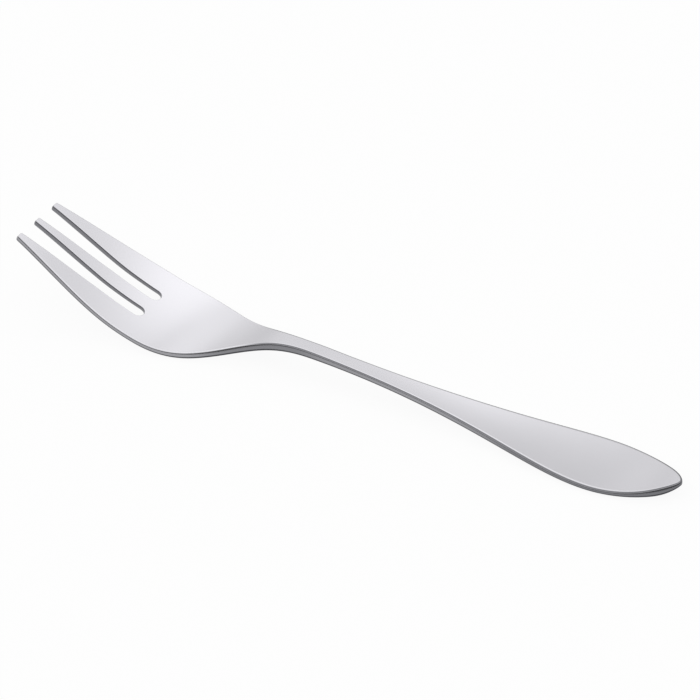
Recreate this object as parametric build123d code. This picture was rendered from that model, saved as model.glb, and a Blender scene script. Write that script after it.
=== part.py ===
from build123d import *

import os
from math import radians, tan

# A pastry fork with three tines, stamped from one strip of stainless steel. Lengths in mm, angles in degrees.
# The fork is a single piece of metal. It is drawn whole, and then cut square across into the zones that a
# cutler names, which meet face to face: three tines, the bowl, the neck and the handle.
# It lies on a table at z = 0, on the back of its bowl and the back of its handle. X runs along it from the
# tine tips to the end of the handle, with x = 0 half-way, and Y runs across it.

# Lengths along the fork, one after another from the tine tips
TINE_LENGTH = 28.5  # to the bottom of a slot
BOWL_LENGTH = 29.1  # on to the corner where the bowl meets the neck
NECK_LENGTH = 13.8  # on to where the handle starts to widen
HANDLE_LENGTH = 78.6  # on to the end

# Widths, seen from above
HEAD_WIDTH = 22.9
NECK_WIDTH = 3.9
HANDLE_WIDTH = 16.6

# Tines, named from left to right as the fork is held, and the slots between them
TINE_NAMES = ("left_tine", "middle_tine", "right_tine")
TINE_PITCH = 6.45  # between the middles of neighbouring tips
TIP_WIDTH = 1.8
TIP_CORNER = 0.6  # rounding of a tip's two corners
SLOT_WIDTH = 2.9  # at the bottom, which is a half circle
SLOT_PARALLEL = 10.0  # from the bottom to where the slot starts to open out
SLOT_BEND = 60.0  # rounding there

# The outline's smooth curves. A reach is how far a curve follows its direction at one of its ends.
TINE_SPLAY = 10.2  # turn of the outer tines' edges from the fork's length, at their tips
TINE_REACH = 20.0
FLANK_REACH = 9.5  # into the widest place of the head
WIDEST_FROM_SLOT = 2.3
SHOULDER_REACH = 15.3  # out of the widest place of the head
NECK_REACH = 18.7
NECK_STRAIGHT = 5.2  # the straight stretch of the neck, up to the handle
FLARE_REACH = 34.4
LEAF_REACH = 12.7  # into the widest place of the handle
WIDEST_FROM_END = 17.8
END_REACH = 10.2  # out of the widest place of the handle
END_BREADTH = 2.4  # the same for the pointed end, across the fork

# Side view: the underside's height above the table, at places from the tips to the end
TIP_LIFT = 14.1
TINE_SLOPE = 23.0  # at the tips
TINE_FROM_TIP = 14.0
TINE_LIFT = 7.45
SLOT_LIFT = 1.8  # at the slot bottoms
BELLY_FROM_SLOT = 11.0  # where the bowl touches down
RISE_TO_NECK = 9.1
RISE_LIFT = 1.25
NECK_LIFT = 3.65  # at the corner of the neck
CREST_FROM_NECK = 14.0
CREST_LIFT = 4.3
MIDDLE_LIFT = 2.05  # half-way from the crest to where the handle touches down
REST_FROM_END = 18.0  # where the handle touches down
HEEL_FROM_END = 5.5
HEEL_LIFT = 0.6
END_LIFT = 1.85
END_SLOPE = 8.0  # of the upper face
END_TAPER = 14.0  # between the upper face and the underside
REST_FLAT = 2.5  # length of the flat wherever the fork touches down

# Thickness of the metal at the same places, square to the underside
TIP_THICKNESS = 1.35
TINE_THICKNESS = 1.3
SLOT_THICKNESS = 1.2
BELLY_THICKNESS = 1.4
RISE_THICKNESS = 1.6
NECK_THICKNESS = 1.8
CREST_THICKNESS = 1.5
MIDDLE_THICKNESS = 1.45
REST_THICKNESS = 1.25
HEEL_THICKNESS = 1.55
END_THICKNESS = 1.4
EDGE_RADIUS = 0.3  # rounding of every rim

# Working values
ROUNDING_SHARE = 0.48  # a rounding takes up at most this share of the shortest run beside it
OVERRUN = 1.0  # how far the strip runs past the outline at both ends
SPARE = 3.0  # how far a cutting shape runs past the metal
FLATNESS = 1e-6  # below this, the upward part of a direction counts as none

# Where the zones meet
TIP_X = -(TINE_LENGTH + BOWL_LENGTH + NECK_LENGTH + HANDLE_LENGTH) / 2
SLOT_X = TIP_X + TINE_LENGTH
NECK_X = SLOT_X + BOWL_LENGTH
HANDLE_X = NECK_X + NECK_LENGTH
END_X = HANDLE_X + HANDLE_LENGTH


def side_outline():
    """The right half of the outline seen from above, from the outer tine tip to the end of the handle."""
    tip = Vector(TIP_X, (len(TINE_NAMES) - 1) / 2 * TINE_PITCH + TIP_WIDTH / 2)
    head = Vector(SLOT_X + WIDEST_FROM_SLOT, HEAD_WIDTH / 2)
    neck = Vector(HANDLE_X - NECK_STRAIGHT, NECK_WIDTH / 2)
    flare = Vector(HANDLE_X, NECK_WIDTH / 2)
    leaf = Vector(END_X - WIDEST_FROM_END, HANDLE_WIDTH / 2)
    end = Vector(END_X, 0)
    along = Vector(1, 0)
    across = Vector(0, 1)
    splayed = along.rotate(Axis.Z, TINE_SPLAY)
    return Curve() + [
        Bezier(tip, tip + splayed * TINE_REACH, head - along * FLANK_REACH, head),
        Bezier(head, head + along * SHOULDER_REACH, neck - along * NECK_REACH, neck),
        Line(neck, flare),
        Bezier(flare, flare + along * FLARE_REACH, leaf - along * LEAF_REACH, leaf),
        Bezier(leaf, leaf + along * END_REACH, end + across * END_BREADTH, end),
    ]


def slot():
    """The opening between two tines seen from above, with its middle on y = 0, running out past the tips."""
    half_width = SLOT_WIDTH / 2
    half_mouth = (TINE_PITCH - TIP_WIDTH) / 2
    round_x = SLOT_X - half_width
    bend_x = SLOT_X - SLOT_PARALLEL
    flare = (half_mouth - half_width) / (bend_x - TIP_X)
    outside = Vector(TIP_X - SPARE, half_mouth + SPARE * flare)
    bend = Vector(bend_x, half_width)
    bottom_start = Vector(round_x, half_width)
    turn = (bend - outside).get_angle(bottom_start - bend)
    room = min((bend - outside).length, (bottom_start - bend).length)
    radius = min(SLOT_BEND, ROUNDING_SHARE * room / tan(radians(turn / 2)))
    wall = FilletPolyline(outside, bend, bottom_start, radius=radius)
    bottom = ThreePointArc(bottom_start, (SLOT_X, 0), (round_x, -half_width))
    mouth = Line((outside.X, -outside.Y), outside)
    return make_face(Curve() + [wall, bottom, mirror(wall, about=Plane.XZ), mouth])


def plan():
    """The whole outline seen from above, with its slots and rounded tips."""
    side = side_outline()
    other_side = mirror(side, about=Plane.XZ)
    across_tips = Line(other_side @ 0, side @ 0)
    face = make_face(Curve() + [side, other_side, across_tips])
    slot_count = len(TINE_NAMES) - 1
    for number in range(slot_count):
        face -= Pos(0, (number - (slot_count - 1) / 2) * TINE_PITCH) * slot()
    tip_corners = face.vertices().group_by(Axis.X)[0]
    return fillet(tip_corners, min(TIP_CORNER, ROUNDING_SHARE * TIP_WIDTH))


def profile():
    """The side view of the metal, a strip of changing thickness that runs on past both ends of the fork."""
    belly_x = SLOT_X + BELLY_FROM_SLOT
    crest_x = NECK_X + CREST_FROM_NECK
    rest_x = END_X - REST_FROM_END
    tip_fall = tan(radians(TINE_SLOPE))
    end_rise = tan(radians(END_SLOPE + END_TAPER))
    end_thinning = end_rise - tan(radians(END_SLOPE))
    head = [
        (TIP_X - OVERRUN, TIP_LIFT + OVERRUN * tip_fall, TIP_THICKNESS),
        (TIP_X, TIP_LIFT, TIP_THICKNESS),
        (TIP_X + TINE_FROM_TIP, TINE_LIFT, TINE_THICKNESS),
        (SLOT_X, SLOT_LIFT, SLOT_THICKNESS),
        (belly_x - REST_FLAT / 2, 0, BELLY_THICKNESS),
    ]
    span = [
        (belly_x + REST_FLAT / 2, 0, BELLY_THICKNESS),
        (NECK_X - RISE_TO_NECK, RISE_LIFT, RISE_THICKNESS),
        (NECK_X, NECK_LIFT, NECK_THICKNESS),
        (crest_x, CREST_LIFT, CREST_THICKNESS),
        ((crest_x + rest_x) / 2, MIDDLE_LIFT, MIDDLE_THICKNESS),
        (rest_x - REST_FLAT / 2, 0, REST_THICKNESS),
    ]
    heel = [
        (rest_x + REST_FLAT / 2, 0, REST_THICKNESS),
        (END_X - HEEL_FROM_END, HEEL_LIFT, HEEL_THICKNESS),
        (END_X, END_LIFT, END_THICKNESS),
        (END_X + OVERRUN, END_LIFT + OVERRUN * end_rise, END_THICKNESS - OVERRUN * end_thinning),
    ]
    level = Vector(1, 0, 0)
    tip_start = level.rotate(Axis.Y, TINE_SLOPE)
    low_end = level.rotate(Axis.Y, -(END_SLOPE + END_TAPER))
    top_end = level.rotate(Axis.Y, -END_SLOPE)
    underside = []
    high_points = []
    for stations, start, end in ((head, tip_start, level), (span, level, level), (heel, level, low_end)):
        points = [Vector(x, 0, lift) for x, lift, _ in stations]
        curve = Spline(*points, tangents=[start, end], tangent_scalars=[1, 1])
        if underside:
            underside.append(Line(underside[-1] @ 1, points[0]))
        underside.append(curve)
        for point, (_, _, thickness) in zip(points, stations):
            along = curve.tangent_at(point)
            high_points.append(point + Vector(-along.Z, 0, along.X) * thickness)
    top = Spline(*high_points, tangents=[tip_start, top_end], tangent_scalars=[1, 1])
    ends = [Line(underside[0] @ 0, top @ 0), Line(underside[-1] @ 1, top @ 1)]
    return make_face(Curve() + [*underside, top, *ends])


def whole_fork():
    """The fork in one piece, resting on z = 0."""
    strip = extrude(profile(), HEAD_WIDTH, both=True)
    blank = Pos(0, 0, -SPARE) * extrude(plan(), TIP_LIFT + TIP_THICKNESS + 2 * SPARE)
    fork = strip & blank
    walls = fork.faces().filter_by(lambda face: abs(face.normal_at().Z) < FLATNESS)
    rims = walls.edges().filter_by(Axis.Z, reverse=True)
    fork = fillet(rims, EDGE_RADIUS)
    return Pos(0, 0, -fork.bounding_box().min.Z) * fork


def zone(fork, start, end):
    """The solids of the fork between two places along it, from left to right as the fork is held."""
    block = Box(end - start, 2 * HEAD_WIDTH, 4 * TIP_LIFT)
    return (fork & (Pos((start + end) / 2) * block)).solids().sort_by(Axis.Y)


fork = whole_fork()
bowl_x = SLOT_X - SLOT_WIDTH / 2  # the tines start where the round slot bottoms end

os.makedirs("parts", exist_ok=True)
for name, tine in zip(TINE_NAMES, zone(fork, TIP_X - SPARE, bowl_x)):
    export_step(tine, f"parts/{name}.step")
export_step(zone(fork, bowl_x, NECK_X)[0], "parts/bowl.step")
export_step(zone(fork, NECK_X, HANDLE_X)[0], "parts/neck.step")
export_step(zone(fork, HANDLE_X, END_X + SPARE)[0], "parts/handle.step")
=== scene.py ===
import math

import bpy
import numpy as np
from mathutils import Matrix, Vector


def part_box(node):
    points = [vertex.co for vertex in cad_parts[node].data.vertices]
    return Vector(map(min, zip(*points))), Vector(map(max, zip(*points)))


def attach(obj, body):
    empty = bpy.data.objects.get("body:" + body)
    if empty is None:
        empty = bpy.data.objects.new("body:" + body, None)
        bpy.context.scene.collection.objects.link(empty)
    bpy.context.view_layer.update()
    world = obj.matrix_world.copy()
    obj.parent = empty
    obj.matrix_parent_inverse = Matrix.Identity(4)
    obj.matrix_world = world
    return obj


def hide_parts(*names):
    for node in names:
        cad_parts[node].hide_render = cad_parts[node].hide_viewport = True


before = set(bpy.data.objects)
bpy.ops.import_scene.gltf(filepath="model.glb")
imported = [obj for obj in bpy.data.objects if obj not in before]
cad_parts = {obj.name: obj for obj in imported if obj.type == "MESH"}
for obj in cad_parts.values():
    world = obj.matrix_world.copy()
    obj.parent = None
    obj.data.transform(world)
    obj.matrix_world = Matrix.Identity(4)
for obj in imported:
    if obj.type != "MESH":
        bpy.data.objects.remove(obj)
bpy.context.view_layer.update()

bl_info = {
    "name": "Pastry fork",
    "version": (1, 0, 0),
    "blender": (4, 5, 0),
    "location": "3D View > Sidebar > Pastry fork",
    "description": "Makes a polished steel pastry fork over its packed solids, and a pale studio round it",
    "category": "Object",
}

# Everything is in metres, in the frame of the solids: X from the tine tips to the end of the handle, Z up.
MM = 0.001

# The solids give the places where the zones of the fork meet, and its widths
TINE_NODES = ("left_tine", "middle_tine", "right_tine")
TINE_LOW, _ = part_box(TINE_NODES[0])
BOWL_LOW, BOWL_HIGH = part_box("bowl")
NECK_LOW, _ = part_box("neck")
HANDLE_LOW, HANDLE_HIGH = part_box("handle")

# How finely the mesh is divided
STATION_STEP = 0.5 * MM  # along the fork
TURN_STEPS = 8  # round a tip corner, half a slot bottom, or half the handle's end
TINE_STEPS = 6  # across each tine
RIM_STEPS = 6  # round a rim
WALL_STEPS = 6  # down a side wall
SLOT_CLEARANCE = 0.7 * MM  # from a slot bottom to the next station
ROUNDING_SHARE = 0.48  # a rounding takes up at most this share of the shortest run beside it
SMALL_STEP = 0.02 * MM  # for slopes
HALVINGS = 40  # to find a place on a smooth curve
END_CURVE_START = 0.6  # the stations are closer from this share of the handle's last curve on

# How dull the stamped edges are, and how far painted shade and reflection darken them, where the walls of the
# slots have 1, as painted shade in the slots
HEAD_DULLNESS_AND_SHADE = 0.78
NECK_DULLNESS_AND_SHADE = 0.87
HANDLE_DULLNESS_AND_SHADE = 0.79
END_DULLNESS_AND_SHADE = 1.1
FOOT_PAINTED_SHADOW = 1.4  # the painted shadow along the foot of the outer walls
RIM_FADE = 8.0 * MM  # length over which one kind of edge turns into another
LEAF_FADE_SHARE = 1 / 3  # of the handle's length, before its wall starts to turn duller and darker with painted shade

# From which level to which one the painted shade and reflection that darken an edge come in or go
WALL_SHOWS = (0.4, 0.9)
RIM_SHOWS = (0.12, 0.32)  # a painted dark reflection, on the neck's and the handle's upper rims
RIM_ENDS = (0.6, HANDLE_DULLNESS_AND_SHADE)
FOOT_SHOWS = (1.0, FOOT_PAINTED_SHADOW)

# Where the painted light and shade of the faces changes, as shares of the bowl's or the handle's length
SLOT_PAINTED_LIGHT_AT = 0.1
BOWL_PAINTED_LIGHT_AT = 0.7
HANDLE_PAINTED_LIGHT_AT = 0.36
LEAF_PAINTED_LIGHT_AT = 0.62

# How closely a direction agrees with the middle of a dark part of the studio, where that part starts and
# where it is at its darkest
FRONT_FADE = (0.0, 0.6)
BEHIND_FADE = (0.32, 0.75)


def length(name, description, default):
    """A size of the fork."""
    return bpy.props.FloatProperty(
        name=name,
        description=description,
        default=default,
        min=0.0,
        precision=5,
        unit="LENGTH",
        subtype="DISTANCE",
    )


def angle(name, description, default):
    """A slope or direction, given in degrees."""
    return bpy.props.FloatProperty(
        name=name, description=description, default=math.radians(default), unit="ROTATION", subtype="ANGLE"
    )


def amount(name, description, default, high=1.0):
    """A plain number from zero up."""
    return bpy.props.FloatProperty(
        name=name, description=description, default=default, min=0.0, max=high, precision=4
    )


def colour(name, description, default):
    """A colour without transparency."""
    return bpy.props.FloatVectorProperty(
        name=name, description=description, default=default, size=3, min=0.0, max=1.0, subtype="COLOR"
    )


class PlanSizes(bpy.types.PropertyGroup):
    """Sizes of the fork seen from above"""

    head_width: length("Head width", "Across the head at its widest", BOWL_HIGH.y - BOWL_LOW.y)
    neck_width: length("Neck width", "Across the neck at its narrowest", 3.9 * MM)
    handle_width: length("Handle width", "Across the handle at its widest", HANDLE_HIGH.y - HANDLE_LOW.y)
    tine_pitch: length("Tine pitch", "Between the middles of neighbouring tine tips", 6.6 * MM)
    tip_width: length("Tip width", "Across a tine at its tip", 1.65 * MM)
    tip_corner: length("Tip corner", "Rounding of a tip's two corners", 0.35 * MM)
    slot_width: length("Slot width", "Across a slot at its round bottom", 2.9 * MM)
    slot_short: length("Slot short", "How much sooner a slot ends than in the solids", 0.6 * MM)
    slot_parallel: length("Slot parallel", "From a slot's bottom to where it starts to open out", 10.0 * MM)
    slot_bend: length("Slot bend", "Rounding where a slot starts to open out", 60.0 * MM)
    tine_splay: angle("Tine splay", "Turn of the outer tines' edges at their tips", 10.2)
    tine_reach: length("Tine reach", "How far the outer tines' edges follow that turn", 20.0 * MM)
    flank_reach: length("Flank reach", "How far the edge runs straight to the head's widest place", 9.5 * MM)
    widest_from_slot: length("Widest from slot", "From the slot bottoms to the head's widest place", 2.3 * MM)
    shoulder_reach: length("Shoulder reach", "How far the edge runs straight on from there", 15.3 * MM)
    neck_reach: length("Neck reach", "How far the edge runs straight into the neck", 18.7 * MM)
    neck_straight: length("Neck straight", "Straight stretch of the neck, up to the handle", 5.2 * MM)
    flare_reach: length("Flare reach", "How far the edge runs straight out of the neck", 34.4 * MM)
    leaf_reach: length("Leaf reach", "How far the edge runs straight to the handle's widest", 12.7 * MM)
    widest_from_end: length("Widest from end", "From the handle's widest place to its end", 17.8 * MM)
    end_reach: length("End reach", "How far the edge runs straight on from there", 10.2 * MM)
    end_breadth: length("End breadth", "How far the edge runs straight across at the pointed end", 2.4 * MM)


class SideSizes(bpy.types.PropertyGroup):
    """Heights and thicknesses of the fork seen from the side"""

    tip_lift: length("Tip lift", "Height of the underside at the tine tips", 14.05 * MM)
    tine_slope: angle("Tine slope", "Fall of the tines at their tips", 23.0)
    tine_from_tip: length("Tine from tip", "From the tips to half-way down the tines", 14.0 * MM)
    tine_lift: length("Tine lift", "Height of the underside half-way down the tines", 7.45 * MM)
    slot_lift: length("Slot lift", "Height of the underside at the slot bottoms", 1.8 * MM)
    belly_from_slot: length("Belly from slot", "From the slot bottoms to the bowl's lowest place", 11.0 * MM)
    rise_to_neck: length("Rise to neck", "From the rise of the bowl to the corner of the neck", 9.1 * MM)
    rise_lift: length("Rise lift", "Height of the underside at the rise of the bowl", 1.25 * MM)
    neck_lift: length("Neck lift", "Height of the underside at the corner of the neck", 3.65 * MM)
    crest_from_neck: length("Crest from neck", "From the corner of the neck to the crest", 14.0 * MM)
    crest_lift: length("Crest lift", "Height of the underside at the crest", 4.3 * MM)
    middle_lift: length("Middle lift", "Height of the underside half-way down the handle", 2.05 * MM)
    rest_from_end: length("Rest from end", "From the end to where the handle touches the table", 18.0 * MM)
    heel_from_end: length("Heel from end", "From the end to the thick heel of the handle", 5.5 * MM)
    heel_lift: length("Heel lift", "Height of the underside at the heel", 0.6 * MM)
    end_lift: length("End lift", "Height of the underside at the end", 1.85 * MM)
    end_slope: angle("End slope", "Rise of the upper face at the end", 8.0)
    end_taper: angle("End taper", "Between the upper face and the underside at the end", 14.0)
    tip_thickness: length("Tip thickness", "Metal at the tine tips", 1.35 * MM)
    tine_thickness: length("Tine thickness", "Metal half-way down the tines", 1.3 * MM)
    slot_thickness: length("Slot thickness", "Metal at the slot bottoms", 1.2 * MM)
    belly_thickness: length("Belly thickness", "Metal at the lowest place of the bowl", 1.4 * MM)
    rise_thickness: length("Rise thickness", "Metal at the rise of the bowl", 1.6 * MM)
    neck_thickness: length("Neck thickness", "Metal at the corner of the neck", 1.8 * MM)
    crest_thickness: length("Crest thickness", "Metal at the crest", 1.5 * MM)
    middle_thickness: length("Middle thickness", "Metal half-way down the handle", 1.45 * MM)
    rest_thickness: length("Rest thickness", "Metal where the handle touches the table", 1.25 * MM)
    heel_thickness: length("Heel thickness", "Metal at the heel", 1.55 * MM)
    end_thickness: length("End thickness", "Metal at the end, before it is rounded off", 1.4 * MM)
    edge_radius: length("Edge radius", "Rounding of every rim but the slots'", 0.3 * MM)
    slot_edge: length("Slot edge", "Rounding of the sharper rims in the slots", 0.12 * MM)
    handle_rim: length("Handle rim", "Width of the handle's rounded upper rim at the widest place", 0.8 * MM)
    wall_bulge: angle("Wall bulge", "Lean of the softly bulging side walls at their top and bottom", 22.0)
    head_hollow: length("Head hollow", "Depth of the slight hollow across the head's upper face", 0.28 * MM)
    leaf_hollow: length("Leaf hollow", "Depth of the slight hollow across the handle's upper face", 0.15 * MM)
    leaf_crown: length("Leaf crown", "How far the handle's underside rises to its edges", 0.2 * MM)
    end_rounding: length("End rounding", "How far the underside is rounded off at the end", 0.5 * MM)
    end_round_length: length("End round length", "Length over which it is rounded off", 4.0 * MM)


class SteelFinish(bpy.types.PropertyGroup):
    """Colours, polish and painted light and shade of the steel"""

    # The faces' colour where the painted light along the fork is at its brightest
    face_colour: colour("Face colour", "Polished faces where they are brightest", (0.822, 0.814, 0.852))
    # The stamped edges' duller steel, darkened further by painted shade and reflection
    edge_and_shade_colour: colour("Edge and shade colour", "Stamped edges where they are dullest", (0.21, 0.21, 0.225))
    # A painted shadow along the foot of the walls
    painted_foot_shadow_colour: colour("Painted foot shadow colour", "The line along the foot of the stamped edges", (0.06, 0.06, 0.066))
    # Painted light and shade along the fork, each as a share of the face colour
    tip_painted_light: amount("Tip painted light", "Brightness of the tine tips, as a share of the brightest", 0.88)
    slot_painted_light: amount("Slot painted light", "Brightness by the slots, as a share of the brightest", 0.98)
    bowl_painted_light: amount("Bowl painted light", "Brightness of the bowl, as a share of the brightest", 1.0)
    neck_painted_light: amount("Neck painted light", "Brightness of the neck, as a share of the brightest", 0.84)
    handle_painted_light: amount("Handle painted light", "Brightness of the handle, as a share of the brightest", 0.9)
    leaf_painted_light: amount("Leaf painted light", "Brightness of the handle's leaf, as a share of the brightest", 0.82)
    face_roughness: amount("Face roughness", "Polish of the faces", 0.20)
    edge_roughness: amount("Edge roughness", "Polish of the stamped edges", 0.24)
    grain_width: length("Grain width", "Across one line of the lengthwise polishing grain", 0.12 * MM)
    grain_length: length("Grain length", "Length of one line of the grain", 9.0 * MM)
    grain_depth: length("Grain depth", "Depth of the grain", 0.0006 * MM)
    grain_dulling: amount("Grain dulling", "How much rougher the lines of the grain are", 0.05)
    cloud_size: length("Cloud size", "Size of the faint cloudy places that polishing leaves", 7.0 * MM)
    cloud_shade: amount("Cloud shade", "How much the cloudy places differ in colour", 0.025)
    shear_width: length("Shear width", "Across one line of the shear marks on the stamped edges", 0.16 * MM)
    shear_depth: length("Shear depth", "Depth of the shear marks", 0.004 * MM)


class StudioSettings(bpy.types.PropertyGroup):
    """Floor, light and camera"""

    floor_colour: colour("Floor colour", "Pale floor", (0.99, 0.99, 0.99))
    floor_shade: amount("Floor shade", "Brightness of the floor's faint spots, as a share of the rest", 0.99)
    floor_spots: amount("Floor spots", "How fine the spots are", 40.0, 1000.0)
    floor_size: length("Floor size", "Side of the square floor", 6.0)
    floor_glow: amount("Floor glow", "How much of the floor's white is seen without shadow", 0.9)
    dome_level: amount("Dome level", "Brightness of the studio's walls", 0.80, 10.0)
    ceiling_level: amount("Ceiling level", "Brightness added by the panel overhead and behind", 0.42, 10.0)
    ceiling_tilt: angle("Ceiling tilt", "Lean of the panel to the side of the tines", 10.0)
    ceiling_start: angle("Ceiling start", "Height above the horizon where the panel starts", 39.5)
    ceiling_full: angle("Ceiling full", "Height above the horizon where the panel is at its brightest", 50.0)
    ceiling_end: angle("Ceiling end", "Height above the horizon where the panel starts to fade", 56.0)
    ceiling_fade: amount("Ceiling fade", "How much of the panel's light is gone straight overhead", 0.9)
    side_level: amount("Side level", "Brightness added by the soft light behind the head", 0.15, 10.0)
    side_turn: angle("Side turn", "Turn of that light from straight across the fork to the tines", 40.0)
    side_height: angle("Side height", "Height of that light above the horizon", 29.0)
    side_spread: angle("Side spread", "From the middle of that light to its edge", 16.0)
    front_dark: amount("Front dark", "How much darker the studio is low behind the camera", 0.75)
    front_top: angle("Front top", "Height above the horizon up to where it is darker there", 36.0)
    horizon_dark: amount("Horizon dark", "How much darker the studio is just above the floor behind", 0.95)
    horizon_top: angle("Horizon top", "Height above the horizon up to where it is darker", 22.0)
    horizon_turn: angle("Horizon turn", "Turn of that dark from straight across the fork to the handle", 20.0)
    camera_azimuth: angle("Camera azimuth", "Turn of the camera round the fork", 29.987)
    camera_elevation: angle("Camera elevation", "Height of the camera above the horizon", 35.031)
    camera_distance: length("Camera distance", "From the camera to what it looks at", 817.66 * MM)
    camera_lens: amount("Camera lens", "Focal length in millimetres", 208.2, 1000.0)
    aim_x: bpy.props.FloatProperty(name="Aim X", description="What the camera looks at", default=0.365 * MM)
    aim_z: length("Aim Z", "Height of what the camera looks at", 8.44 * MM)


# Outlines seen from above. A run is (where it ends, what gives y and the outward direction at an x).
# Side is 1 where the metal lies below the line, at smaller y, and -1 where it lies above.


def straight(start, end, side):
    """A straight run from start to end."""
    slope = (end[1] - start[1]) / (end[0] - start[0])
    outward = Vector((-slope, 1.0)).normalized() * side
    return end[0], lambda x: (start[1] + slope * (x - start[0]), outward)


def arc(end_x, centre, radius, bulge, side):
    """A run round a centre, above it for bulge 1 and below it for bulge -1."""

    def at(x):
        rise = bulge * math.sqrt(max(radius**2 - (x - centre[0]) ** 2, 0.0))
        arm = Vector((x - centre[0], rise)) / radius
        return centre[1] + rise, arm * (bulge * side)

    return end_x, at


def rounded(points, radii, side):
    """Runs through the points, with each inner corner rounded as far as the runs beside it have room."""
    runs = []
    start = Vector(points[0])
    for before, corner, after, wanted in zip(points, points[1:], points[2:], radii):
        before, corner, after = Vector(before), Vector(corner), Vector(after)
        run_in = corner - before
        run_out = after - corner
        turn = -run_in.angle_signed(run_out)
        setback = math.tan(abs(turn) / 2)
        radius = min(wanted, ROUNDING_SHARE * min(run_in.length, run_out.length) / setback)
        along = run_in.normalized()
        arc_start = corner - along * radius * setback
        arc_end = corner + run_out.normalized() * radius * setback
        turn_side = math.copysign(1.0, turn)
        centre = arc_start + Vector((-along.y, along.x)) * (radius * turn_side)
        runs.append(straight(start, arc_start, side))
        runs.append(arc(arc_end.x, centre, radius, -turn_side, side))
        start = arc_end
    runs.append(straight(start, points[-1], side))
    return runs


def curve_point(corners, share):
    """The place at a share of the way along a smooth curve, and its direction there."""
    left = [a.lerp(b, share) for a, b in zip(corners, corners[1:])]
    inner = [a.lerp(b, share) for a, b in zip(left, left[1:])]
    return inner[0].lerp(inner[1], share), inner[1] - inner[0]


def bend(corners, side):
    """A run along the smooth curve that starts towards its second corner and ends coming from its third."""

    def at(x):
        low, high = 0.0, 1.0
        for _ in range(HALVINGS):
            share = (low + high) / 2
            low, high = (share, high) if curve_point(corners, share)[0].x < x else (low, share)
        place, direction = curve_point(corners, (low + high) / 2)
        return place.y, Vector((-direction.y, direction.x)).normalized() * side

    return corners[-1].x, at


def with_tip_corner(runs, tip_x, radius, side):
    """The runs with a rounded corner between the flat tip at tip_x and the first run."""
    first_at = runs[0][1]
    y, outward = first_at(tip_x + radius)
    centre = (tip_x + radius, y - radius / outward.y)
    corner = arc(centre[0] + radius * outward.x, centre, radius, side, side)
    return [corner, *runs]


def edge_at(runs, x):
    """(y, outward direction) of an outline at x."""
    for end_x, at in runs:
        if x <= end_x:
            return at(x)
    return runs[-1][1](x)


def spline(places, heights, start_slope, end_slope):
    """What gives the height of a smooth curve through the places, with the given slopes at its ends."""
    count = len(places)
    rows = np.eye(count)
    sides = np.zeros(count)
    sides[0], sides[-1] = start_slope, end_slope
    for i in range(1, count - 1):
        before = 1 / (places[i] - places[i - 1])
        after = 1 / (places[i + 1] - places[i])
        rows[i, i - 1 : i + 2] = before, 2 * (before + after), after
        climb_in = (heights[i] - heights[i - 1]) * before**2
        climb_out = (heights[i + 1] - heights[i]) * after**2
        sides[i] = 3 * (climb_in + climb_out)
    slopes = np.linalg.solve(rows, sides)

    def at(x):
        i = min(max(int(np.searchsorted(places, x)) - 1, 0), count - 2)
        span = places[i + 1] - places[i]
        t = (x - places[i]) / span
        start = heights[i] * (1 + 2 * t) * (1 - t) ** 2 + slopes[i] * span * t * (1 - t) ** 2
        end = heights[i + 1] * (3 - 2 * t) * t**2 - slopes[i + 1] * span * t**2 * (1 - t)
        return float(start + end)

    return at


def ease(x, start, end):
    """A smooth rise from 0 at start to 1 at end."""
    share = min(max((x - start) / (end - start), 0.0), 1.0)
    return share * share * (3 - 2 * share)


def swell(x, start, peak, end):
    """A smooth rise from 0 at start to 1 at peak, and back to 0 at end."""
    return ease(x, start, peak) if x < peak else ease(x, end, peak)


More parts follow.
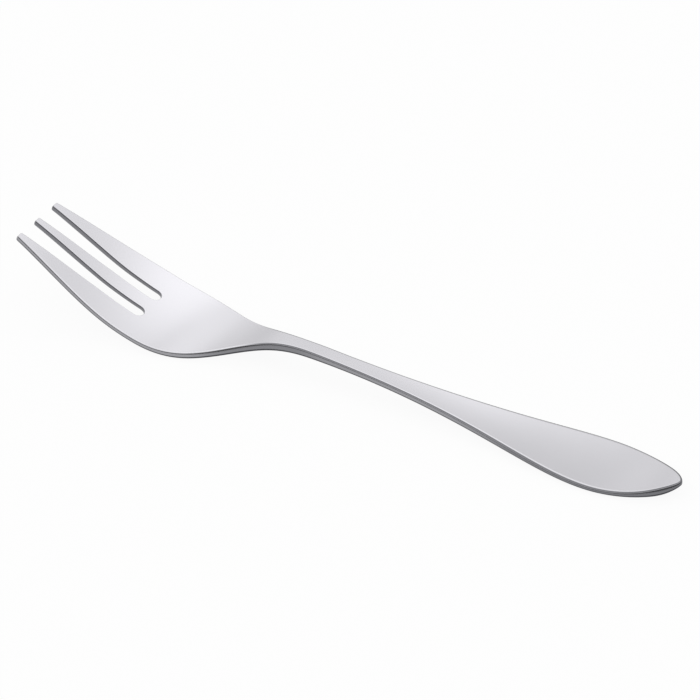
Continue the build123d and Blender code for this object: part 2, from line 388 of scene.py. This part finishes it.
class ForkShape:
    """The fork's outlines and heights, worked out from its sizes."""

    def __init__(self, plan, side):
        self.plan = plan
        self.side = side
        self.tip_x = TINE_LOW.x
        self.slot_x = BOWL_LOW.x + plan.slot_width / 2  # the slot bottoms of the solids
        self.neck_x = NECK_LOW.x
        self.handle_x = HANDLE_LOW.x
        self.end_x = HANDLE_HIGH.x
        self.leaf_x = self.end_x - plan.widest_from_end
        self.round_x = BOWL_LOW.x - plan.slot_short  # where the round bottom of a slot starts
        self.bottom_x = self.round_x + plan.slot_width / 2  # where it ends
        self.corner = min(plan.tip_corner, ROUNDING_SHARE * plan.tip_width)
        self.outer_runs, self.end_curve = self.outer_edge()
        self.slot_runs = self.slot_wall()
        self.low, self.high = self.side_curves()

    def outer_edge(self):
        """The right-hand outline from the outer tine tip to the end of the handle, and its last curve."""
        plan = self.plan
        tip = Vector((self.tip_x, plan.tine_pitch + plan.tip_width / 2))
        head = Vector((self.slot_x + plan.widest_from_slot, plan.head_width / 2))
        neck = Vector((self.handle_x - plan.neck_straight, plan.neck_width / 2))
        flare = Vector((self.handle_x, plan.neck_width / 2))
        leaf = Vector((self.leaf_x, plan.handle_width / 2))
        end = Vector((self.end_x, 0.0))
        along = Vector((1.0, 0.0))
        splayed = Vector((math.cos(plan.tine_splay), math.sin(plan.tine_splay)))
        across = Vector((0.0, plan.end_breadth))
        end_curve = [leaf, leaf + along * plan.end_reach, end + across, end]
        runs = [
            bend([tip, tip + splayed * plan.tine_reach, head - along * plan.flank_reach, head], 1),
            bend([head, head + along * plan.shoulder_reach, neck - along * plan.neck_reach, neck], 1),
            straight(neck, flare, 1),
            bend([flare, flare + along * plan.flare_reach, leaf - along * plan.leaf_reach, leaf], 1),
            bend(end_curve, 1),
        ]
        return with_tip_corner(runs, self.tip_x, self.corner, 1), end_curve

    def slot_wall(self):
        """Half the width of a slot from the tips to its round bottom."""
        plan = self.plan
        points = [
            (self.tip_x, (plan.tine_pitch - plan.tip_width) / 2),
            (self.bottom_x - plan.slot_parallel, plan.slot_width / 2),
            (self.round_x, plan.slot_width / 2),
        ]
        runs = rounded(points, [plan.slot_bend], -1)
        runs = with_tip_corner(runs, self.tip_x, self.corner, -1)
        runs.append(arc(self.bottom_x, (self.round_x, 0.0), plan.slot_width / 2, 1, -1))
        return runs

    def side_curves(self):
        """What gives the heights of the underside and of the top along the middle."""
        side = self.side
        crest_x = self.neck_x + side.crest_from_neck
        rest_x = self.end_x - side.rest_from_end
        stations = [
            (self.tip_x, side.tip_lift, side.tip_thickness),
            (self.tip_x + side.tine_from_tip, side.tine_lift, side.tine_thickness),
            (self.slot_x, side.slot_lift, side.slot_thickness),
            (self.slot_x + side.belly_from_slot, 0.0, side.belly_thickness),
            (self.neck_x - side.rise_to_neck, side.rise_lift, side.rise_thickness),
            (self.neck_x, side.neck_lift, side.neck_thickness),
            (crest_x, side.crest_lift, side.crest_thickness),
            ((crest_x + rest_x) / 2, side.middle_lift, side.middle_thickness),
            (rest_x, 0.0, side.rest_thickness),
            (self.end_x - side.heel_from_end, side.heel_lift, side.heel_thickness),
            (self.end_x, side.end_lift, side.end_thickness),
        ]
        places, lifts, thicknesses = (np.array(column) for column in zip(*stations))
        tip_slope = -math.tan(side.tine_slope)
        low = spline(places, lifts, tip_slope, math.tan(side.end_slope + side.end_taper))
        falls = [(low(x + SMALL_STEP) - low(x - SMALL_STEP)) / (2 * SMALL_STEP) for x in places]
        high = spline(places, lifts + thicknesses * np.hypot(1.0, falls), tip_slope, math.tan(side.end_slope))
        lowest = min(low(x) for x in np.arange(self.tip_x, self.end_x, STATION_STEP))
        return (lambda x: low(x) - lowest), (lambda x: high(x) - lowest)

    def across_share(self, x, y):
        """How far out from the middle line a place is, from 0 there to 1 at the outline."""
        half_width = edge_at(self.outer_runs, x)[0]
        return min(abs(y) / max(half_width, SMALL_STEP), 1.0)

    def hollow(self, x, y):
        """How far the upper face is hollowed at a place."""
        head = self.side.head_hollow * swell(x, self.tip_x, self.slot_x, self.neck_x)
        leaf = self.side.leaf_hollow * swell(x, self.handle_x, self.leaf_x, self.end_x)
        return (head + leaf) * (1 - self.across_share(x, y) ** 2)

    def rounding_off(self, x, y):
        """How far the underside rises to the edges of the handle and to its pointed end."""
        crown = self.side.leaf_crown * swell(x, self.handle_x, self.leaf_x, self.end_x)
        end_share = max(1 - (self.end_x - x) / self.side.end_round_length, 0.0)
        return crown * self.across_share(x, y) ** 2 + self.side.end_rounding * end_share**2

    def height(self, x, y, up):
        """Height of the upper face for up 1, and of the underside for up -1."""
        return self.high(x) - self.hollow(x, y) if up > 0 else self.low(x) + self.rounding_off(x, y)

    def on_handle(self, x):
        """0 on the head, rising to 1 on the neck and the handle."""
        return ease(x, self.neck_x - RIM_FADE, self.neck_x)

    def dullness_and_shade(self, x):
        """How dull the outer upper rim, side wall and lower rim are at one place, and how far painted shade
        and reflection darken them; the lower rim carries a painted shadow.
        """
        rim = HEAD_DULLNESS_AND_SHADE + (1 - HEAD_DULLNESS_AND_SHADE) * self.on_handle(x)
        fade_x = self.handle_x + (self.end_x - self.handle_x) * LEAF_FADE_SHARE
        changes = (
            (NECK_DULLNESS_AND_SHADE - HEAD_DULLNESS_AND_SHADE, self.neck_x - 2 * RIM_FADE, self.neck_x - RIM_FADE),
            (HANDLE_DULLNESS_AND_SHADE - NECK_DULLNESS_AND_SHADE, self.handle_x - RIM_FADE, self.handle_x),
            (END_DULLNESS_AND_SHADE - HANDLE_DULLNESS_AND_SHADE, fade_x, self.end_x - RIM_FADE),
        )
        wall = HEAD_DULLNESS_AND_SHADE
        for change, start, end in changes:
            wall += change * ease(x, start, end)
        return rim, wall, FOOT_PAINTED_SHADOW

    def rim_reach(self, x):
        """How far in from the outline the rounding of the upper rim starts."""
        narrow = self.side.edge_radius
        width_share = 2 * edge_at(self.outer_runs, x)[0] / self.plan.handle_width
        return narrow + (self.side.handle_rim - narrow) * self.on_handle(x) * math.sqrt(width_share)

    def slot_radius(self, x):
        """Rounding of the rims in a slot, which turn into those of the tips."""
        wide = self.side.edge_radius
        return wide + (self.side.slot_edge - wide) * ease(x, self.tip_x, self.tip_x + RIM_FADE)

    def square(self, x):
        """The direction square to the strip of metal at a place along it."""
        before, after = x - SMALL_STEP, x + SMALL_STEP
        climb = self.low(after) + self.high(after) - self.low(before) - self.high(before)
        return Vector((-climb / 2, 0.0, 2 * SMALL_STEP)).normalized()

    def facing(self, x, y, up):
        """The direction that the upper face or the underside faces."""
        along = self.height(x + SMALL_STEP, y, up) - self.height(x - SMALL_STEP, y, up)
        across = self.height(x, y + SMALL_STEP, up) - self.height(x, y - SMALL_STEP, up)
        return Vector((-along, -across, 2 * SMALL_STEP)).normalized() * up

    def stations(self):
        """The places along the fork where its outlines are divided, closer where an outline turns sharply."""
        quarter = [math.pi / 2 * step / TURN_STEPS for step in range(TURN_STEPS + 1)]
        tips = [self.tip_x + self.corner * (1 - math.cos(turn)) for turn in quarter]
        bottoms = [self.round_x + self.plan.slot_width / 2 * math.sin(turn) for turn in quarter]
        end_shares = np.linspace(END_CURVE_START, 1.0, 2 * TURN_STEPS + 1)
        ends = [curve_point(self.end_curve, share)[0].x for share in end_shares]
        tines = evenly(tips[-1], bottoms[0])
        rest = evenly(bottoms[-1] + SLOT_CLEARANCE, ends[0])
        return tips[:-1] + tines, bottoms[1:], rest + ends[1:]


def evenly(start, end):
    """Places from start to end, both included, about a station step apart."""
    count = math.ceil((end - start) / STATION_STEP)
    return [start + (end - start) * step / count for step in range(count + 1)]


class ForkMesh:
    """Gathers the points and faces of the fork as one closed skin, with its slots."""

    def __init__(self, shape):
        self.shape = shape
        self.points = []
        self.normals = []
        self.dullness_and_shade_values = []
        self.faces = []
        tine_places, bottom_places, rest_places = shape.stations()
        self.grid = self.tine_columns(tine_places + bottom_places)
        self.tips = self.tip_columns()
        self.rest = [(self.outer(x, -1), self.outer(x, 1)) for x in rest_places[:-1]]
        self.end = self.column(shape.end_x, 0.0, Vector((1.0, 0.0)))
        self.cover(1)
        self.cover(-1)
        self.skirt(self.once_round())

    def add(self, point, normal, dullness_and_shade):
        """Adds a point with the direction that it faces and its dullness and painted shade, and gives its
        number.
        """
        self.points.append(point)
        self.normals.append(normal)
        self.dullness_and_shade_values.append(dullness_and_shade)
        return len(self.points) - 1

    def face(self, corners):
        """Adds one face, without repeated corners."""
        self.faces.append(list(dict.fromkeys(corners)))

    def rim(self, edge, outward, radius, reach, swelling, up):
        """The places, directions and shares of the way from a face round a rim to the side wall."""
        shape = self.shape
        lean = math.pi / 2 - shape.side.wall_bulge
        leans = [lean * step / RIM_STEPS for step in range(RIM_STEPS + 1)]
        turns = [math.atan(math.tan(part) * reach / radius) for part in leans]
        on_face = edge - outward * (reach * math.sin(turns[-1]) + swelling)
        on_face.z = shape.height(on_face.x, on_face.y, up)
        facing = shape.facing(on_face.x, on_face.y, up)
        rows = []
        for part, turn in zip(leans, turns):
            drop = radius * (1 - math.cos(turn))
            place = on_face + outward * (reach * math.sin(turn)) - facing * drop
            rows.append((place, facing.slerp(outward, part / (math.pi / 2)), part / lean))
        return rows

    def column(self, x, y, outward, in_slot=False):
        """Adds the points over the upper rim, down the side wall and round the lower rim, at one place."""
        shape = self.shape
        square = shape.square(x)
        thickness = (shape.height(x, y, 1) - shape.height(x, y, -1)) * square.z
        outward = Vector((outward.x, outward.y, 0.0))
        outward = (outward - square * outward.dot(square)).normalized()
        radius = shape.slot_radius(x) if in_slot else shape.side.edge_radius
        top_reach = radius if in_slot else shape.rim_reach(x)
        # In the slots the rims and walls take the full dark, as painted shade in the slots
        rim_dullness_and_shade, wall_dullness_and_shade, foot_painted_shadow = (1.0, 1.0, 1.0) if in_slot else shape.dullness_and_shade(x)
        swelling = max(thickness / 2 - radius, 0.0) * math.tan(shape.side.wall_bulge / 2)
        top_edge = Vector((x, y, 0.0))
        low_edge = top_edge - square * thickness
        upper, wall, lower = [], [], []
        for place, normal, share in self.rim(top_edge, outward, radius, top_reach, swelling, 1):
            upper.append((place, normal, min(rim_dullness_and_shade * share, wall_dullness_and_shade)))
        # The lower rim runs into the painted shadow along the foot
        for place, normal, share in self.rim(low_edge, outward, radius, radius, swelling, -1):
            lower.append((place, normal, foot_painted_shadow * share))
        (top, top_normal, _), (bottom, bottom_normal, _) = upper[-1], lower[-1]
        for step in range(1, WALL_STEPS):
            share = step / WALL_STEPS
            place = top.lerp(bottom, share) + outward * (swelling * 4 * share * (1 - share))
            # The wall's last row carries the painted shadow along the foot
            dullness_and_shade = foot_painted_shadow if step == WALL_STEPS - 1 else wall_dullness_and_shade
            wall.append((place, top_normal.slerp(bottom_normal, share), dullness_and_shade))
        return [self.add(*row) for row in upper + wall + lower[::-1]]

    def outer(self, x, hand):
        """The column on the outline at x, on the left for hand -1 and on the right for hand 1."""
        y, outward = edge_at(self.shape.outer_runs, x)
        return self.column(x, hand * y, Vector((outward.x, hand * outward.y)))

    def slot_side(self, x, middle, hand):
        """The column on one wall of the slot whose middle line is at y = middle."""
        y, outward = edge_at(self.shape.slot_runs, x)
        return self.column(x, middle + hand * y, Vector((outward.x, hand * outward.y)), in_slot=True)

    def tine_columns(self, places):
        """The columns from left to right at each station of the tines. Two walls share each slot bottom."""
        pitch = self.shape.plan.tine_pitch
        slot_middles = (-pitch / 2, pitch / 2)
        grid = []
        for x in places:
            if x == places[-1]:
                back = Vector((-1.0, 0.0))
                bottoms = [self.column(x, middle, back, in_slot=True) for middle in slot_middles]
                walls = [column for bottom in bottoms for column in (bottom, bottom)]
            else:
                walls = [self.slot_side(x, middle, hand) for middle in slot_middles for hand in (-1, 1)]
            grid.append([self.outer(x, -1), *walls, self.outer(x, 1)])
        return grid

    def tip_columns(self):
        """The columns across each tip, which is flat, so its front is divided as the face behind it is."""
        tips = []
        for left, right in zip(self.grid[0][0::2], self.grid[0][1::2]):
            low, high = self.points[left[RIM_STEPS]].y, self.points[right[RIM_STEPS]].y
            shares = [step / TINE_STEPS for step in range(1, TINE_STEPS)]
            places = [low + (high - low) * share for share in shares]
            front = [self.column(self.shape.tip_x, y, Vector((-1.0, 0.0))) for y in places]
            tips.append([left, *front, right])
        return tips

    def across(self, left, right, steps, up):
        """The points of a face between two columns, from left to right, both included."""
        end = 0 if up > 0 else -1
        first, last = left[end], right[end]
        row = [first]
        for step in range(1, steps):
            place = self.points[first].lerp(self.points[last], step / steps)
            place.z = self.shape.height(place.x, place.y, up)
            row.append(self.add(place, self.shape.facing(place.x, place.y, up), 0.0))
        return row + [last]

    def bridge(self, row, next_row, up):
        """Adds faces between the points of two stations, the second one nearer to the handle's end."""
        for a, b, c, d in zip(row, next_row, next_row[1:], row[1:]):
            self.face([a, b, c, d] if up > 0 else [d, c, b, a])

    def cover(self, up):
        """Adds the upper face for up 1, and the underside for up -1."""
        end_index = 0 if up > 0 else -1
        rows = [[[column[end_index] for column in tip] for tip in self.tips]]
        for columns in self.grid[1:]:
            pairs = zip(columns[0::2], columns[1::2])
            rows.append([self.across(left, right, TINE_STEPS, up) for left, right in pairs])
        for row, next_row in zip(rows, rows[1:]):
            for part, next_part in zip(row, next_row):
                self.bridge(part, next_part, up)
        last = rows[-1][0][:1]
        for part in rows[-1]:
            last += part[1:]
        for left, right in self.rest:
            row = self.across(left, right, len(TINE_NODES) * TINE_STEPS, up)
            self.bridge(last, row, up)
            last = row
        self.bridge(last, [self.end[end_index]] * len(last), up)

    def once_round(self):
        """The columns once round: up the right side, in and out of the slots, and down the left side."""
        behind_tips = self.grid[1:]
        loop = [self.end] + [right for _, right in reversed(self.rest)]
        loop += [columns[-1] for columns in reversed(behind_tips)]
        for number, tip in reversed(list(enumerate(self.tips))):
            loop += reversed(tip)
            if number > 0:
                loop += [columns[2 * number] for columns in behind_tips]
                loop += [columns[2 * number - 1] for columns in reversed(behind_tips[:-1])]
        loop += [columns[0] for columns in behind_tips]
        loop += [left for left, _ in self.rest]
        return loop

    def skirt(self, loop):
        """Adds the rims and side walls all round, from a closed loop of columns."""
        for column, following in zip(loop, loop[1:] + loop[:1]):
            for a, b, c, d in zip(column, column[1:], following[1:], following):
                self.face([a, b, c, d])


def fork_mesh(shape):
    """The fork's mesh, smooth, with the dullness and painted shade of its stamped edges."""
    skin = ForkMesh(shape)
    mesh = bpy.data.meshes.new("fork")
    mesh.from_pydata([tuple(point) for point in skin.points], [], skin.faces)
    mesh.validate()
    mesh.polygons.foreach_set("use_smooth", [True] * len(mesh.polygons))
    # Dullness of the stamped edges, which also sets their painted shade and reflection and the painted shadow
    # along the foot
    edge = mesh.attributes.new("stamped_edge_and_shade", "FLOAT", "POINT")
    edge.data.foreach_set("value", skin.dullness_and_shade_values)
    mesh.normals_split_custom_set_from_vertices([tuple(normal) for normal in skin.normals])
    return mesh


def add_node(tree, kind, inputs=None, **settings):
    """A new node with its settings, and its inputs either linked to an output or set to a value."""
    node = tree.nodes.new(kind)
    for name, value in settings.items():
        setattr(node, name, value)
    for name, value in (inputs or {}).items():
        socket = node.inputs[name]
        if isinstance(value, bpy.types.NodeSocket):
            tree.links.new(value, socket)
        else:
            socket.default_value = value
    return node


def noise(tree, place, scale, detail):
    """A cloudy pattern from 0 to 1."""
    inputs = {"Vector": place, "Scale": scale, "Detail": detail}
    return add_node(tree, "ShaderNodeTexNoise", inputs).outputs["Fac"]


def streaks(tree, width, length, detail):
    """A pattern of fine lines along the fork, from 0 to 1."""
    place = add_node(tree, "ShaderNodeTexCoord").outputs["Object"]
    scale = (1 / length, 1 / width, 1 / width)
    stretched = add_node(tree, "ShaderNodeMapping", {"Vector": place, "Scale": scale}).outputs["Vector"]
    return noise(tree, stretched, 1.0, detail)


def share_of(tree, value, start, end):
    """How far a value has come from start to end, from 0 to 1."""
    inputs = {"Value": value, "From Min": start, "From Max": end}
    return add_node(tree, "ShaderNodeMapRange", inputs).outputs["Result"]


def between(tree, factor, low, high):
    """A value that runs from low to high as the factor runs from 0 to 1."""
    inputs = {"Value": factor, "To Min": low, "To Max": high}
    return add_node(tree, "ShaderNodeMapRange", inputs).outputs["Result"]


def blend(tree, factor, a, b):
    """A colour that runs from a to b as the factor runs from 0 to 1."""
    mix = add_node(tree, "ShaderNodeMix", {"Factor": factor}, data_type="RGBA")
    for socket, value in ((mix.inputs["A"], a), (mix.inputs["B"], b)):
        if isinstance(value, bpy.types.NodeSocket):
            tree.links.new(value, socket)
        else:
            socket.default_value = (*value, 1.0)
    return mix.outputs["Result"]


def smooth_step(tree, value, start, end, low, high):
    """A value that runs smoothly from low at start to high at end."""
    inputs = {"Value": value, "From Min": start, "From Max": end, "To Min": low, "To Max": high}
    return add_node(tree, "ShaderNodeMapRange", inputs, interpolation_type="SMOOTHSTEP").outputs["Result"]


def times(tree, a, b):
    """The product of two values."""
    return add_node(tree, "ShaderNodeMath", {0: a, 1: b}, operation="MULTIPLY").outputs["Value"]


def painted_light(tree, along, finish):
    """Painted light and shade along the fork: how much the faces' colour is brightened or darkened at each
    place.
    """
    tip, end = TINE_LOW.x, HANDLE_HIGH.x
    ramp = add_node(tree, "ShaderNodeValToRGB", {"Fac": share_of(tree, along, tip, end)})
    bowl_length = NECK_LOW.x - BOWL_LOW.x
    handle_length = end - HANDLE_LOW.x
    stops = [
        (tip, finish.tip_painted_light),
        (BOWL_LOW.x + bowl_length * SLOT_PAINTED_LIGHT_AT, finish.slot_painted_light),
        (BOWL_LOW.x + bowl_length * BOWL_PAINTED_LIGHT_AT, finish.bowl_painted_light),
        (NECK_LOW.x, finish.neck_painted_light),
        (HANDLE_LOW.x + handle_length * HANDLE_PAINTED_LIGHT_AT, finish.handle_painted_light),
        (HANDLE_LOW.x + handle_length * LEAF_PAINTED_LIGHT_AT, finish.leaf_painted_light),
        (end, finish.leaf_painted_light),
    ]
    elements = ramp.color_ramp.elements
    while len(elements) < len(stops):
        elements.new(1.0)
    for element, (x, brightness) in zip(elements, stops):
        element.position = (x - tip) / (end - tip)
        element.color = (brightness, brightness, brightness, 1.0)
    ramp.color_ramp.interpolation = "EASE"
    return ramp.outputs["Color"]


def steel_material(finish):
    """Bright polished steel with a fine lengthwise grain and painted light and shade along it, and duller
    stamped edges with shear marks, darkened by painted shade and reflection.
    """
    material = bpy.data.materials.new("polished_steel")
    material.use_nodes = True
    tree = material.node_tree
    shader = tree.nodes["Principled BSDF"]
    shader.inputs["Metallic"].default_value = 1.0
    edge = add_node(tree, "ShaderNodeAttribute", attribute_name="stamped_edge_and_shade").outputs["Fac"]
    wall = share_of(tree, edge, *WALL_SHOWS)

    place = add_node(tree, "ShaderNodeTexCoord").outputs["Object"]
    along = add_node(tree, "ShaderNodeSeparateXYZ", {"Vector": place}).outputs["X"]
    cloud = noise(tree, place, 1 / finish.cloud_size, detail=3.0)
    shaded = tuple(value * (1 - finish.cloud_shade) for value in finish.face_colour)
    # The faces' own faint cloudy tone, times the painted light and shade along the fork
    tone_and_painted_light = {0: blend(tree, cloud, shaded, finish.face_colour), 1: painted_light(tree, along, finish)}
    face_colour = add_node(tree, "ShaderNodeVectorMath", tone_and_painted_light, operation="MULTIPLY").outputs["Vector"]
    # A painted dark reflection on the neck's and the handle's upper rims, and the walls' painted shade
    on_handle = smooth_step(tree, along, NECK_LOW.x - RIM_FADE, NECK_LOW.x, 0.0, 1.0)
    rim = times(tree, smooth_step(tree, edge, *RIM_SHOWS, 0.0, 1.0), on_handle)
    rim = times(tree, rim, smooth_step(tree, edge, *RIM_ENDS, 1.0, 0.0))
    dark = add_node(tree, "ShaderNodeMath", {0: wall, 1: rim}, operation="MAXIMUM").outputs["Value"]
    # The painted shadow along the foot of the walls
    foot = smooth_step(tree, edge, *FOOT_SHOWS, 0.0, 1.0)
    edge_and_shade_colour = blend(tree, foot, finish.edge_and_shade_colour, finish.painted_foot_shadow_colour)
    tree.links.new(blend(tree, dark, face_colour, edge_and_shade_colour), shader.inputs["Base Color"])

    grain = streaks(tree, finish.grain_width, finish.grain_length, detail=4.0)
    dull = finish.face_roughness + finish.grain_dulling
    face_roughness = between(tree, grain, finish.face_roughness - finish.grain_dulling, dull)
    polish = add_node(tree, "ShaderNodeMix", {"Factor": wall}, data_type="FLOAT")
    tree.links.new(face_roughness, polish.inputs["A"])
    polish.inputs["B"].default_value = finish.edge_roughness
    tree.links.new(polish.outputs["Result"], shader.inputs["Roughness"])

    shear = streaks(tree, finish.shear_width, finish.grain_length, detail=2.0)
    shear_inputs = {"Height": times(tree, shear, wall), "Distance": finish.shear_depth}
    shear_bump = add_node(tree, "ShaderNodeBump", shear_inputs)
    grain_inputs = {"Height": grain, "Distance": finish.grain_depth, "Normal": shear_bump.outputs["Normal"]}
    grain_bump = add_node(tree, "ShaderNodeBump", grain_inputs)
    tree.links.new(grain_bump.outputs["Normal"], shader.inputs["Normal"])
    return material


def agreement(tree, direction, towards):
    """How closely a direction agrees with another one, from -1 to 1."""
    inputs = {0: direction, 1: towards}
    return add_node(tree, "ShaderNodeVectorMath", inputs, operation="DOT_PRODUCT").outputs["Value"]


def floor_material(studio):
    """A pale floor that keeps a faint shadow, and shows as white to the camera and in the metal."""
    material = bpy.data.materials.new("pale_floor")
    material.use_nodes = True
    tree = material.node_tree
    shader = tree.nodes["Principled BSDF"]
    place = add_node(tree, "ShaderNodeTexCoord").outputs["Object"]
    spots = noise(tree, place, studio.floor_spots, detail=2.0)
    shaded = tuple(value * studio.floor_shade for value in studio.floor_colour)
    tree.links.new(blend(tree, spots, shaded, studio.floor_colour), shader.inputs["Base Color"])
    shader.inputs["Roughness"].default_value = 1.0
    shader.inputs["Specular IOR Level"].default_value = 0.0
    white = {"Color": (1.0, 1.0, 1.0, 1.0), "Strength": 1.0}
    glow = add_node(tree, "ShaderNodeEmission", white).outputs["Emission"]
    path = add_node(tree, "ShaderNodeLightPath").outputs
    seen = path["Is Camera Ray"]
    for ray in ("Is Glossy Ray", "Is Transmission Ray"):
        seen = add_node(tree, "ShaderNodeMath", {0: seen, 1: path[ray]}, operation="MAXIMUM").outputs["Value"]
    share = times(tree, seen, studio.floor_glow)
    mix = add_node(tree, "ShaderNodeMixShader", {0: share, 1: shader.outputs["BSDF"], 2: glow})
    tree.links.new(mix.outputs["Shader"], tree.nodes["Material Output"].inputs["Surface"])
    return material


def studio_world(studio, back):
    """A pale studio with a bright panel overhead, a soft light to the side and two darker parts low down."""
    world = bpy.data.worlds.new("studio_dome")
    world.use_nodes = True
    tree = world.node_tree
    direction = add_node(tree, "ShaderNodeTexCoord").outputs["Generated"]
    height = add_node(tree, "ShaderNodeSeparateXYZ", {"Vector": direction}).outputs["Z"]

    # The panel overhead and behind the fork
    tilted = Vector((-math.sin(studio.ceiling_tilt), 0.0, math.cos(studio.ceiling_tilt)))
    over = agreement(tree, direction, tilted)
    starts, full = math.sin(studio.ceiling_start), math.sin(studio.ceiling_full)
    panel = smooth_step(tree, over, starts, full, 0.0, 1.0)
    overhead = smooth_step(tree, over, math.sin(studio.ceiling_end), 1.0, 1.0, 1.0 - studio.ceiling_fade)
    panel = times(tree, panel, overhead)
    level = between(tree, panel, studio.dome_level, studio.dome_level + studio.ceiling_level)

    # The soft light behind the head
    turn, lift = studio.side_turn, studio.side_height
    side = Vector((-math.sin(turn) * math.cos(lift), math.cos(turn) * math.cos(lift), math.sin(lift)))
    beside = agreement(tree, direction, side)
    side_light = smooth_step(tree, beside, math.cos(studio.side_spread), 1.0, 0.0, studio.side_level)
    level = add_node(tree, "ShaderNodeMath", {0: level, 1: side_light}, operation="ADD").outputs["Value"]

    # The dark low behind the camera
    front_top = math.sin(studio.front_top)
    low_front = smooth_step(tree, height, front_top / 2, front_top, 1.0, 0.0)
    towards = agreement(tree, direction, Vector((back.x, back.y, 0.0)).normalized())
    front = times(tree, low_front, smooth_step(tree, towards, *FRONT_FADE, 0.0, studio.front_dark))
    level = times(tree, level, between(tree, front, 1.0, 0.0))

    # The dark just above the floor behind the handle
    low = smooth_step(tree, height, 0.0, math.sin(studio.horizon_top), studio.horizon_dark, 0.0)
    behind = Vector((math.sin(studio.horizon_turn), math.cos(studio.horizon_turn), 0.0))
    low = times(tree, low, smooth_step(tree, agreement(tree, direction, behind), *BEHIND_FADE, 0.0, 1.0))
    level = times(tree, level, between(tree, low, 1.0, 0.0))

    tree.links.new(level, tree.nodes["Background"].inputs["Strength"])
    tree.nodes["Background"].inputs["Color"].default_value = (1.0, 1.0, 1.0, 1.0)
    return world


class PASTRYFORK_OT_make_fork(bpy.types.Operator):
    """Makes the fork in one piece of polished steel"""

    bl_idname = "pastry_fork.make_fork"
    bl_label = "Make fork"

    def execute(self, context):
        settings = context.scene.pastry_fork
        shape = ForkShape(settings.plan, settings.side)
        fork = bpy.data.objects.new("fork", fork_mesh(shape))
        context.scene.collection.objects.link(fork)
        fork.data.materials.append(steel_material(settings.steel))
        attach(fork, "root")
        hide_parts(*TINE_NODES, "bowl", "neck", "handle")
        return {"FINISHED"}


class PASTRYFORK_OT_make_studio(bpy.types.Operator):
    """Makes the floor, the light and the camera"""

    bl_idname = "pastry_fork.make_studio"
    bl_label = "Make studio"

    def execute(self, context):
        studio = context.scene.pastry_fork.studio
        half = studio.floor_size / 2
        mesh = bpy.data.meshes.new("floor")
        corners = [(x, y, 0.0) for x, y in ((-half, -half), (half, -half), (half, half), (-half, half))]
        mesh.from_pydata(corners, [], [range(len(corners))])
        floor = bpy.data.objects.new("floor", mesh)
        context.scene.collection.objects.link(floor)
        mesh.materials.append(floor_material(studio))

        camera = bpy.data.objects.new("camera", bpy.data.cameras.new("camera"))
        context.scene.collection.objects.link(camera)
        turn, lift = studio.camera_azimuth, studio.camera_elevation
        back = Vector((math.sin(turn) * math.cos(lift), -math.cos(turn) * math.cos(lift), math.sin(lift)))
        camera.location = Vector((studio.aim_x, 0.0, studio.aim_z)) + back * studio.camera_distance
        camera.rotation_euler = (-back).to_track_quat("-Z", "Y").to_euler()
        camera.data.lens = studio.camera_lens
        camera.data.clip_start = 0.01
        context.scene.camera = camera
        context.scene.world = studio_world(studio, back)
        context.scene.view_settings.view_transform = "Standard"
        return {"FINISHED"}


class ForkSettings(bpy.types.PropertyGroup):
    """All that a user may change"""

    plan: bpy.props.PointerProperty(type=PlanSizes, name="Plan", description="Sizes seen from above")
    side: bpy.props.PointerProperty(type=SideSizes, name="Side", description="Sizes seen from the side")
    steel: bpy.props.PointerProperty(type=SteelFinish, name="Steel", description="Colours and polish")
    studio: bpy.props.PointerProperty(type=StudioSettings, name="Studio", description="Light and camera")


class PASTRYFORK_PT_panel(bpy.types.Panel):
    """Lists the fork's settings and what makes it"""

    bl_label = "Pastry fork"
    bl_idname = "PASTRYFORK_PT_panel"
    bl_space_type = "VIEW_3D"
    bl_region_type = "UI"
    bl_category = "Pastry fork"

    def draw(self, context):
        settings = context.scene.pastry_fork
        for title, group in (
            ("Plan", settings.plan),
            ("Side view", settings.side),
            ("Steel", settings.steel),
            ("Studio", settings.studio),
        ):
            box = self.layout.box()
            box.label(text=title)
            for name in group.bl_rna.properties.keys():
                if name not in ("rna_type", "name"):
                    box.prop(group, name)
        self.layout.operator(PASTRYFORK_OT_make_fork.bl_idname)
        self.layout.operator(PASTRYFORK_OT_make_studio.bl_idname)


CLASSES = (
    PlanSizes,
    SideSizes,
    SteelFinish,
    StudioSettings,
    ForkSettings,
    PASTRYFORK_OT_make_fork,
    PASTRYFORK_OT_make_studio,
    PASTRYFORK_PT_panel,
)


def register():
    for item in CLASSES:
        bpy.utils.register_class(item)
    bpy.types.Scene.pastry_fork = bpy.props.PointerProperty(type=ForkSettings)


def unregister():
    del bpy.types.Scene.pastry_fork
    for item in reversed(CLASSES):
        bpy.utils.unregister_class(item)


def main():
    register()
    bpy.ops.pastry_fork.make_fork()
    bpy.ops.pastry_fork.make_studio()


if __name__ == "__main__":
    main()
